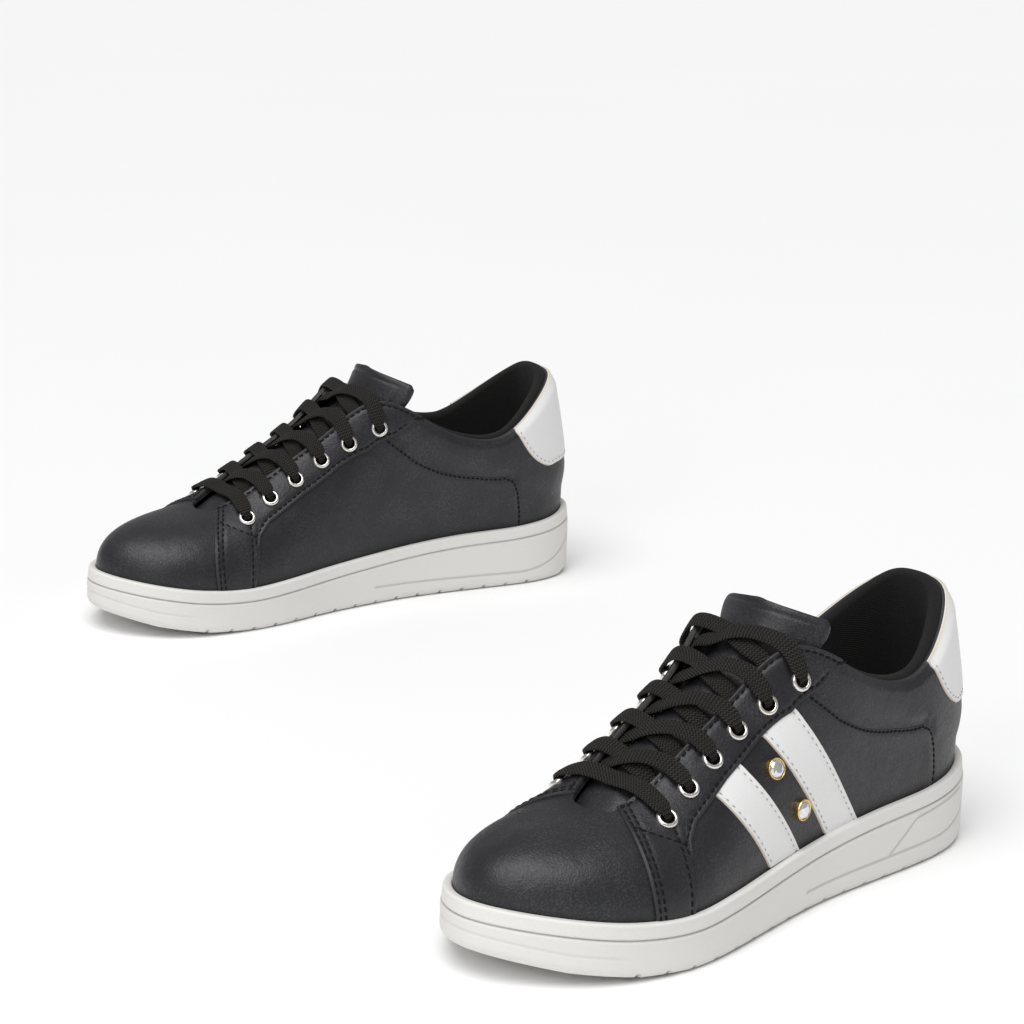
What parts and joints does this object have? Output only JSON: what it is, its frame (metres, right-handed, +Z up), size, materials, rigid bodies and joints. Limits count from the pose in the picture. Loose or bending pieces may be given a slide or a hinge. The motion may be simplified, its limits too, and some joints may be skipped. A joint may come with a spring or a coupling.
{
  "type": "pair of cheer shoes",
  "caption": "Pair of low black lace-up court shoes with white cup soles, white side stripes and heel tab, crystal studs, padded collars and sprung tongues.",
  "frame": {"origin": "on the floor, at the middle of the pair's footprint", "axes": "+Z up, toes towards -X, right shoe on the +Y side and left shoe on the -Y side"},
  "size_m": [0.342, 0.5566, 0.1185],
  "materials": {
    "upper_leather": "smooth matt black synthetic leather, fine grain",
    "white_leather": "smooth satin white synthetic leather",
    "sole_rubber": "matt off-white moulded rubber",
    "lining": "black knitted lining over foam",
    "lace": "black flat braided lace",
    "eyelet_nickel": "polished nickel",
    "crystal_stud": "gold-coloured setting with a clear faceted crystal",
    "board": "plain fibre board"
  },
  "bodies": {
    "right_shoe": {"right_collar_lining": "lining", "right_cupsole": "sole_rubber", "right_eyelet_lateral_1": "eyelet_nickel", "right_eyelet_lateral_2": "eyelet_nickel", "right_eyelet_lateral_3": "eyelet_nickel", "right_eyelet_lateral_4": "eyelet_nickel", "right_eyelet_lateral_5": "eyelet_nickel", "right_eyelet_lateral_6": "eyelet_nickel", "right_eyelet_medial_1": "eyelet_nickel", "right_eyelet_medial_2": "eyelet_nickel", "right_eyelet_medial_3": "eyelet_nickel", "right_eyelet_medial_4": "eyelet_nickel", "right_eyelet_medial_5": "eyelet_nickel", "right_eyelet_medial_6": "eyelet_nickel", "right_eyestay_lateral": "upper_leather", "right_eyestay_medial": "upper_leather", "right_heel_counter": "board", "right_heel_panel": "upper_leather", "right_heel_tab": "white_leather", "right_insole": "lining", "right_lace": "lace", "right_lasting_board": "board", "right_quarter_lateral": "upper_leather", "right_quarter_medial": "upper_leather", "right_stripe_front": "white_leather", "right_stripe_rear": "white_leather", "right_stud_front": "crystal_stud", "right_stud_rear": "crystal_stud", "right_vamp": "upper_leather"},
    "right_tongue": {"right_tongue": "upper_leather"},
    "left_shoe": {"left_collar_lining": "lining", "left_cupsole": "sole_rubber", "left_eyelet_lateral_1": "eyelet_nickel", "left_eyelet_lateral_2": "eyelet_nickel", "left_eyelet_lateral_3": "eyelet_nickel", "left_eyelet_lateral_4": "eyelet_nickel", "left_eyelet_lateral_5": "eyelet_nickel", "left_eyelet_lateral_6": "eyelet_nickel", "left_eyelet_medial_1": "eyelet_nickel", "left_eyelet_medial_2": "eyelet_nickel", "left_eyelet_medial_3": "eyelet_nickel", "left_eyelet_medial_4": "eyelet_nickel", "left_eyelet_medial_5": "eyelet_nickel", "left_eyelet_medial_6": "eyelet_nickel", "left_eyestay_lateral": "upper_leather", "left_eyestay_medial": "upper_leather", "left_heel_counter": "board", "left_heel_panel": "upper_leather", "left_heel_tab": "white_leather", "left_insole": "lining", "left_lace": "lace", "left_lasting_board": "board", "left_quarter_lateral": "upper_leather", "left_quarter_medial": "upper_leather", "left_stripe_front": "white_leather", "left_stripe_rear": "white_leather", "left_stud_front": "crystal_stud", "left_stud_rear": "crystal_stud", "left_vamp": "upper_leather"},
    "left_tongue": {"left_tongue": "upper_leather"}
  },
  "joints": [
    {"name": "right_tongue_flex", "type": "hinge", "parent": "right_shoe", "child": "right_tongue", "pos_m": [-0.05101, 0.22879, 0.043], "axis": [0, 1, 0], "range_deg": [0, 5], "stiffness_Nm_per_rad": 0.8},
    {"name": "left_heel_lift", "type": "hinge", "parent": "right_shoe", "child": "left_shoe", "pos_m": [-0.15543, -0.21245, 0], "axis": [-0.5446, -0.8387, 0], "range_deg": [0, 30]},
    {"name": "left_tongue_flex", "type": "hinge", "parent": "left_shoe", "child": "left_tongue", "pos_m": [-0.11672, -0.23292, 0.043], "axis": [-0.2419, 0.9703, 0], "range_deg": [0, 5], "stiffness_Nm_per_rad": 0.8}
  ]
}
